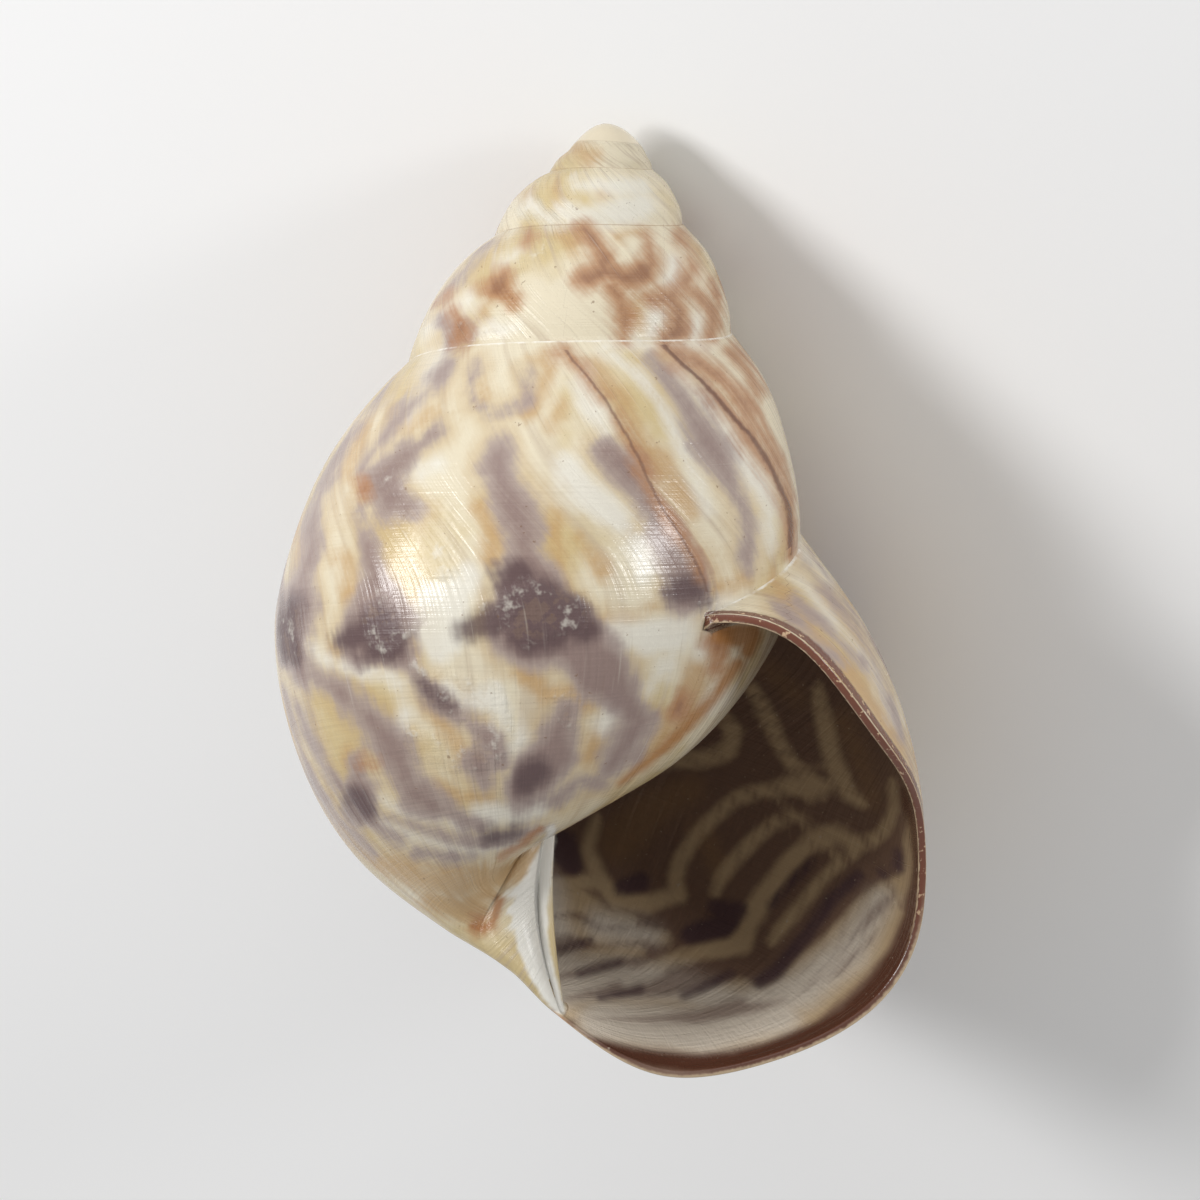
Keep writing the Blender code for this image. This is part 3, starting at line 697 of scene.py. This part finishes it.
def painted(strokes, among):
    """How far inside the nearest stroke each point lies on the front view: the radius less the
    distance. A stroke of one point is a dot."""
    near = front[among]
    inside = np.full(len(near), -FAR)
    for stroke in strokes:
        knots = np.array(stroke if len(stroke) > 1 else stroke * 2, float)
        for a, b in zip(knots[:-1], knots[1:]):
            run = b[:2] - a[:2]
            reach = np.clip((near - a[:2]) @ run / max(run @ run, TINY), 0, 1)
            gap = near - a[:2] - reach[:, None] * run
            radius = a[2] + reach * (b[2] - a[2])
            inside = np.maximum(inside, radius - np.hypot(gap[:, 0], gap[:, 1]))
    field = np.full(len(front), -FAR)
    field[among] = inside
    return field


shell_mesh = bpy.data.meshes.new("snail shell")
shell_mesh.from_pydata((resting / 1000).tolist(), [], quads.tolist() + triangles.tolist())
normals = np.empty(3 * len(resting), np.float32)
shell_mesh.vertex_normals.foreach_get("vector", normals)
normals = normals.reshape(-1, 3).astype(float)
facing = -(normals @ turn.T)[:, 1]
seen = smoothstep((facing - 0.02) / 0.2)
glazed = np.where(on_callus, 1 - smoothstep((facing + 0.1) / 0.1), 1.0)
lining = np.where(outside, 0.0, glazed)
outer = lining < 0.9

# Where the photograph shows nothing, the same flames run on: bands along the growth lines that
# point forward at one share of the whorl and are dark there, with ochre between them. On the spire
# they break up into brown blotches.
FLAMES_A_TURN = 8
FLAME_TIP = 0.58
FLAME_LEAD = 0.055
SCATTER = (12.9898, 43758.5453)
line_of, share_of, growth_of = line[whorls], share_at[whorls], point_marks[whorls, 0]
wander = 0.02 * np.sin(7.3 * line_of + 9 * share_of)
wander += 0.012 * np.sin(19.1 * line_of - 17 * share_of)
peak = 1 - np.abs(share_of - FLAME_TIP) / (1 - FLAME_TIP)
flame = (line_of - FLAME_LEAD * peak + wander) * FLAMES_A_TURN
number = np.floor(flame)
vary = (np.sin(SCATTER[0] * number) * SCATTER[1]) % 1
across_flame = np.abs(flame - number - 0.5)
around = np.hypot(upright[whorls, 0], upright[whorls, 1]) * 2 * np.pi
flame_units = around * UNITS_PER_MM / FLAMES_A_TURN
width = 0.10 + 0.07 * vary + 0.13 * np.exp(-(((share_of - FLAME_TIP) / 0.16) ** 2))
spots = np.sin(40 * line_of + 5 * vary) * np.sin(21 * share_of + 11 * vary + 3)
on_spire = smoothstep((-1.0 - growth_of) / 0.1)
near_tip = 1 - smoothstep((growth_of + 3.3) / 0.3)
lilac_on = (width - across_flame) * flame_units
dark_on = lilac_on - 10 - 22 * vary - 160 * np.maximum(np.abs(share_of - 0.60) - 0.08, 0)
ochre_on = (0.10 + 0.06 * vary - np.abs(across_flame - 0.32)) * flame_units - 6
lilac_on -= 60 * on_spire
dark_on -= 60 * on_spire
ochre_on -= 30 * near_tip
brown_on = np.where(on_spire > 0.5, 26 * spots - 10, -30) - 40 * near_tip


def shown(drawn, hidden):
    """The strokes where the photograph shows the shell, and the flames that run on elsewhere."""
    field = drawn.copy()
    field[dome] = PLAIN_DOME
    field[whorls] += (hidden - field[whorls]) * (1 - seen[whorls])
    return field


def beside(drawn_line):
    """The distance to the right of a line down the front view, the farthest past its ends."""
    xs, ys = np.array(drawn_line, float).T
    gap = (front[:, 0] - np.interp(front[:, 1], ys, xs)) * LINE_SLANT
    reached = (front[:, 1] > ys[0] - LINE_MARGIN) & (front[:, 1] < ys[-1] + LINE_MARGIN)
    near = outside & (facing > 0) & reached
    return np.where(near, np.clip(gap, -FAR, FAR), np.where(gap > 0, FAR, -FAR))


# The distance from the lip, outwards above zero, and over the rim and into the hollow below it
LIP_RADIUS = 14
RIM_STEP = 1.7
HOLLOW_LIP = -12
to_lip = np.full(len(points), FAR)
to_lip[whorls] = np.clip(-line_of * 2 * np.pi * LIP_RADIUS * UNITS_PER_MM, 0, FAR)
ring_of = (np.arange(len(points)) - outside_count) // len(edge)
on_rim = (along_ring >= 0) & (along_ring < rows)
to_lip[on_rim] = np.maximum(-RIM_STEP * (1 + ring_of[on_rim]), HOLLOW_LIP)

halt, varix = beside(HALT_LINE), beside(VARIX_LINE)
layers_of = {
    "lilac": (LILAC_STROKES, lilac_on, []),
    "dark": (DARK_STROKES, dark_on, LINING_DARK),
    "ochre": (OCHRE_STROKES, ochre_on, LINING_WARM),
    "brown": (BROWN_STROKES, brown_on, LINING_BROWN),
    "white": (WHITE_AND_HIGHLIGHT_STROKES, PLAIN_BACK, LINING_PALE),
    "grey_wear_and_glints": (WORN_AND_GLINT_STROKES, PLAIN_BACK, LINING_GREY),
}
fields = {
    name: np.where(outer, shown(painted(strokes, outer), hidden), painted(lining_strokes, ~outer))
    for name, (strokes, hidden, lining_strokes) in layers_of.items()
}
fields |= {
    "enamel": painted(ENAMEL_STROKES, facing > -0.3),
    "stain": painted(STAIN_STROKES, facing > -0.3),
    "amber": painted(AMBER_STROKES, outer),
    "lip": to_lip,
    "lining": lining,
    "halt": halt,
    "varix": varix,
}

# The relief: the ridges where growth halted, growth wrinkles, and the slight dents of a wild shell
HALT_HEIGHT, HALT_WIDTH = 0.07, 7
VARIX_HEIGHT, VARIX_WIDTH = 0.12, 8
WRINKLE_HEIGHT, WRINKLES_A_TURN = 0.012, 46
DENT_HEIGHT = 0.03
ridges = HALT_HEIGHT * np.exp(-((halt / HALT_WIDTH) ** 2))
ridges += VARIX_HEIGHT * np.exp(-((varix / VARIX_WIDTH) ** 2))
wrinkles = WRINKLE_HEIGHT * np.sin(2 * np.pi * WRINKLES_A_TURN * line)
wrinkles *= np.sin(2 * np.pi * 3.1 * line + 4 * share_at)
dents = DENT_HEIGHT * np.sin(17 * line + 9 * share_at) * np.sin(23 * share_at - 11 * line)
ends = smoothstep(share_at / 0.05) * smoothstep((1 - share_at) / 0.1) * smoothstep(-line / 0.01)
relief = (ridges + (wrinkles + dents) * ends) * outside
resting = resting + relief[:, None] * normals
resting[:, 2] = np.maximum(resting[:, 2], 0)
shell_mesh.vertices.foreach_set("co", (resting / 1000).astype(np.float32).ravel())
shell_mesh.update()

marks = np.concatenate([quad_marks.reshape(-1, 2), triangle_marks.reshape(-1, 2)])
marks[:, 0] += lag(marks[:, 1])
growth_lines = shell_mesh.uv_layers.new(name="growth")
growth_lines.data.foreach_set("uv", marks.astype(np.float32).ravel())
for name, field in fields.items():
    values = shell_mesh.attributes.new(name, "FLOAT", "POINT").data
    values.foreach_set("value", field.astype(np.float32))
shell_mesh.shade_smooth()
shell_wall = bpy.data.objects.new("shell_wall", shell_mesh)
bpy.context.scene.collection.objects.link(shell_wall)
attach(shell_wall, "root")
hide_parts("shell")

shell_skin = bpy.data.materials.new("glossy shell")
shell_skin.use_nodes = True
shell_mesh.materials.append(shell_skin)


class Shade:
    """A socket that takes part in sums, so that the shading reads as arithmetic."""

    def __init__(self, socket):
        self.socket = socket

    @staticmethod
    def node(kind, settings, values, out=0):
        """Makes one node: its settings, then its inputs, each a value or a link."""
        made = shell_skin.node_tree.nodes.new(kind)
        for name, value in settings.items():
            setattr(made, name, value)
        for name, value in values.items():
            if isinstance(value, Shade):
                shell_skin.node_tree.links.new(value.socket, made.inputs[name])
            else:
                made.inputs[name].default_value = value
        return Shade(made.outputs[out])

    def maths(self, operation, other, swap=False):
        first, second = (other, self) if swap else (self, other)
        return Shade.node("ShaderNodeMath", {"operation": operation}, {0: first, 1: second})

    def __add__(self, other):
        return self.maths("ADD", other)

    def __sub__(self, other):
        return self.maths("SUBTRACT", other)

    def __rsub__(self, other):
        return self.maths("SUBTRACT", other, swap=True)

    def __mul__(self, other):
        return self.maths("MULTIPLY", other)

    __radd__, __rmul__ = __add__, __mul__

    def step(self, low, high):
        """0 below low and 1 above high, with an even ease between."""
        values = {"Value": self, "From Min": low, "From Max": high}
        return Shade.node("ShaderNodeMapRange", {"interpolation_type": "SMOOTHSTEP"}, values)

    def between(self, low, full, full_end, high):
        """1 from full to full_end, easing to 0 at low and at high."""
        return self.step(low, full) * (1.0 - self.step(full_end, high))

    def times(self, scales):
        return Shade.node("ShaderNodeVectorMath", {"operation": "MULTIPLY"}, {0: self, 1: scales})

    def noise(self, scale, detail=2.0, rough=0.5):
        values = {"Vector": self, "Scale": scale, "Detail": detail, "Roughness": rough}
        return Shade.node("ShaderNodeTexNoise", {}, values)


def read(name):
    return Shade.node("ShaderNodeAttribute", {"attribute_name": name}, {}, "Fac")


def tint(red, green, blue):
    """A colour as the eye sees it, 0 to 255, made the light that it stands for."""
    light = np.array([red, green, blue]) / 255
    return (*np.where(light > 0.04045, ((light + 0.055) / 1.055) ** 2.4, light / 12.92), 1.0)


def mixed(first, second, share):
    """One colour mixed towards another by a share."""
    return Shade.node("ShaderNodeMix", {"data_type": "RGBA"}, {0: share, 6: first, 7: second}, 2)


def layered(colour, layers):
    """A colour with others laid over it in turn, each by its own share."""
    for over, share in layers:
        colour = mixed(colour, over, share)
    return colour


uv = Shade.node("ShaderNodeUVMap", {"uv_map": "growth"}, {})
turns, share = [Shade.node("ShaderNodeSeparateXYZ", {}, {0: uv}, out) for out in (0, 1)]
growth_fine = uv.times((300.0, 5.0, 1.0)).noise(1.0)
growth_broad = uv.times((60.0, 2.5, 1.0)).noise(1.0)
striae = uv.times((9.0, 190.0, 1.0)).noise(1.0)
spot = Shade.node("ShaderNodeTexCoord", {}, {}, "Object")
cloud = spot.noise(160.0, 3.0)
mottle = spot.noise(900.0, 3.0, 0.65)
grit = spot.noise(2600.0, 2.0, 0.6)
smear = spot.noise(430.0, 3.0)

# The fields' edges are roughened along the growth lines outside, and far less under the glaze
within = read("lining")
along_growth = (growth_fine - 0.5) * 9.0 + (growth_broad - 0.5) * 13.0
ragged = (along_growth + (mottle - 0.5) * 9.0 + (smear - 0.5) * 26.0) * (1.0 - within)
ragged += (mottle - 0.5) * within * 6.0
lilac, dark, ochre, brown, white, grey_wear_and_glints = [read(name) + ragged for name in layers_of]
wear_and_glint_part = grey_wear_and_glints.step(-6.0, 8.0)
lip = read("lip") + (grit - 0.5) * 4.0
lip_band = lip.between(0.5, 2.0, 10.0, 14.0)
halt_line = (read("halt") + (mottle - 0.5) * 6.0).between(-2.6, -0.4, 0.4, 2.4)
varix_line = (read("varix") + (mottle - 0.5) * 6.0).between(-4.5, -0.8, 0.5, 4.0)
thread = 1.0 - (share + (grit - 0.5) * 0.006).step(0.0015, 0.005)
low_thread = turns.step(-1.5, -1.4)

# Outside, cream with yellow clouds, then bands and flames, the lip's beads and the suture's thread
ground = layered(mixed(tint(222, 211, 185), tint(204, 184, 138), cloud.step(0.46, 0.64)), [
    (tint(186, 168, 144), growth_broad.step(0.48, 0.70) * 0.6),
    (tint(190, 160, 112), lilac.step(-24.0, -4.0) * 0.45),
    (tint(188, 150, 98), ochre.step(-12.0, 9.0) * 0.75),
    # White markings, and at one stroke a painted highlight
    (tint(229, 226, 215), white.step(-12.0, 9.0) * 0.75),
    (tint(166, 149, 142), lilac.step(-9.0, 6.0) * 0.9),
    (tint(136, 112, 106), lilac.step(0.0, 18.0) * 0.75),
    (tint(88, 66, 68), dark.step(-13.0, 9.0) * 0.85),
    (tint(172, 122, 80), brown.step(-14.0, 5.0) * 0.85),
    (tint(124, 78, 54), brown.step(1.0, 12.0) * 0.6),
    # Whitish flecks on the worn patches; over the glints on the left of the body whorl they are a
    # painted highlight
    (tint(226, 221, 208), wear_and_glint_part * mottle.step(0.54, 0.70) * 0.5),
    (tint(176, 148, 108), wear_and_glint_part * mottle.step(0.47, 0.40) * 0.12),
    (tint(104, 56, 40), lip_band * 0.92),
    (tint(216, 186, 150), lip_band * grit.step(0.6, 0.7) * 0.8),
    (tint(120, 88, 60), grit.step(0.70, 0.76) * 0.55),
    (tint(112, 80, 66), halt_line * 0.6),
    (tint(92, 50, 36), varix_line * 0.75),
    (tint(240, 236, 226), thread * low_thread * mottle.step(0.35, 0.6) * 0.8),
    (tint(150, 116, 80), thread * (1.0 - low_thread) * 0.6),
    (tint(250, 244, 226), growth_fine.step(0.62, 0.8) * 0.18),
    (tint(120, 96, 74), growth_fine.step(0.38, 0.2) * 0.16),
])

# Inside, glazed brown with grey and pale bands. The rim is beaded above and pale-edged below.
greyed, low_part = grey_wear_and_glints.step(-16.0, 14.0), share.step(0.40, 0.52)
beaded = lip.step(-8.0, -6.5) * (1.0 - low_part)
inner_line = lip.between(-11.5, -10.0, -8.5, -7.5) * (1.0 - low_part)
outer_line = lip.step(-5.5, -2.5) * low_part
inside = layered(mixed(tint(128, 102, 86), tint(146, 116, 88), ochre.step(-14.0, 14.0)), [
    (tint(172, 156, 144), greyed * 0.8),
    (mixed(tint(206, 180, 142), tint(226, 215, 198), greyed), white.step(-6.0, 6.0) * 0.9),
    (tint(88, 68, 74), dark.step(-6.0, 5.0) * 0.85),
    (tint(84, 46, 32), brown.step(-6.0, 5.0) * 0.9),
    (tint(208, 196, 176), grit.step(0.70, 0.76) * 0.35),
    (tint(112, 62, 44), beaded * 0.9),
    (tint(216, 186, 150), beaded * grit.step(0.6, 0.7) * 0.8),
    (tint(206, 182, 150), (outer_line + inner_line) * 0.85),
])

# Over both, amber glaze at the corner of the mouth, and the columella's stains and white enamel
surface_colour = layered(mixed(ground, inside, within), [
    (tint(170, 116, 62), (read("amber") + (mottle - 0.5) * 6.0).step(-6.0, 5.0) * 0.85),
    (tint(168, 112, 66), (read("stain") + (mottle - 0.5) * 8.0).step(-4.0, 4.0) * 0.8),
    (tint(236, 234, 226), (read("enamel") + (mottle - 0.5) * 8.0).step(-3.0, 3.0) * 0.95),
])

height = growth_fine * 0.5 + striae * 0.3 + growth_broad * 0.6
height += mottle * wear_and_glint_part * 0.8 + grit * 0.15 + 0.8 * lip_band * grit
bumped = Shade.node("ShaderNodeBump", {}, {"Strength": 0.9, "Distance": 0.00012, "Height": height})
skin = shell_skin.node_tree.nodes["Principled BSDF"]
wire = shell_skin.node_tree.links.new
wire(surface_colour.socket, skin.inputs["Base Color"])
wire((0.17 + 0.14 * striae + 0.22 * wear_and_glint_part).socket, skin.inputs["Roughness"])
wire(bumped.socket, skin.inputs["Normal"])
skin.inputs["Coat Weight"].default_value = 0.15
skin.inputs["Coat Roughness"].default_value = 0.14

# The floor is a plain pale sheet, not part of the shell
floor_mesh = bpy.data.meshes.new("floor")
reach = 2
floor_corners = [(-reach, -reach, 0), (reach, -reach, 0), (reach, reach, 0), (-reach, reach, 0)]
floor_mesh.from_pydata(floor_corners, [], [(0, 1, 2, 3)])
floor = bpy.data.objects.new("floor", floor_mesh)
bpy.context.scene.collection.objects.link(floor)
pale = bpy.data.materials.new("pale floor")
pale.use_nodes = True
paint = pale.node_tree.nodes["Principled BSDF"]
paint.inputs["Base Color"].default_value = (0.86, 0.86, 0.86, 1)
paint.inputs["Roughness"].default_value = 0.9
floor_mesh.materials.append(pale)

# Soft studio light: an even pale sky and three soft boxes, to the left, to the right and above
SKY_STRENGTH = 0.43
SHELL_MIDDLE = np.array([0.0, 0.0, -23.0])
world = bpy.data.worlds.new("studio")
world.use_nodes = True
sky = world.node_tree.nodes["Background"]
sky.inputs["Color"].default_value = (1, 1, 1, 1)
sky.inputs["Strength"].default_value = SKY_STRENGTH
bpy.context.scene.world = world
bpy.context.scene.view_settings.view_transform = "Standard"


def soft_light(name, upright_from, width, height, power):
    """A soft box that shines on the shell from a place given for the upright shell."""
    light = bpy.data.lights.new(name, "AREA")
    light.shape = "RECTANGLE"
    light.size, light.size_y = width, height
    light.energy = power
    lamp = bpy.data.objects.new(name, light)
    target = upright_to_rest(SHELL_MIDDLE) / 1000
    spot = upright_to_rest(np.array(upright_from)) / 1000
    lamp.location = spot
    lamp.rotation_euler = Vector(target - spot).to_track_quat("-Z", "Y").to_euler()
    bpy.context.scene.collection.objects.link(lamp)


soft_light("left soft box", (-264.0, -144.0, 30.0), 0.08, 0.14, 0.6)
soft_light("right soft box", (222.0, -217.0, 25.0), 0.05, 0.08, 0.28)
soft_light("top soft box", (-60.0, -200.0, 260.0), 0.3, 0.3, 0.25)

# The camera looks at the aperture as the photograph does
VIEW_CENTRE = np.array([-0.426, 0.0, -22.84])
VIEW_WIDTH = 12.16
camera = bpy.data.cameras.new("camera")
camera.sensor_fit = "HORIZONTAL"
camera.angle = np.radians(VIEW_WIDTH)
camera.clip_start, camera.clip_end = 0.01, 10
view = bpy.data.objects.new("camera", camera)
axes = np.array([[1.0, 0, 0], [0, 0, 1.0], [0, -1.0, 0]]) @ turn
standpoint = upright_to_rest(VIEW_CENTRE - [0, VIEW_DISTANCE, 0]) / 1000
view.matrix_world = Matrix.Translation(standpoint) @ Matrix(axes.T.tolist()).to_4x4()
bpy.context.scene.collection.objects.link(view)
bpy.context.scene.camera = view
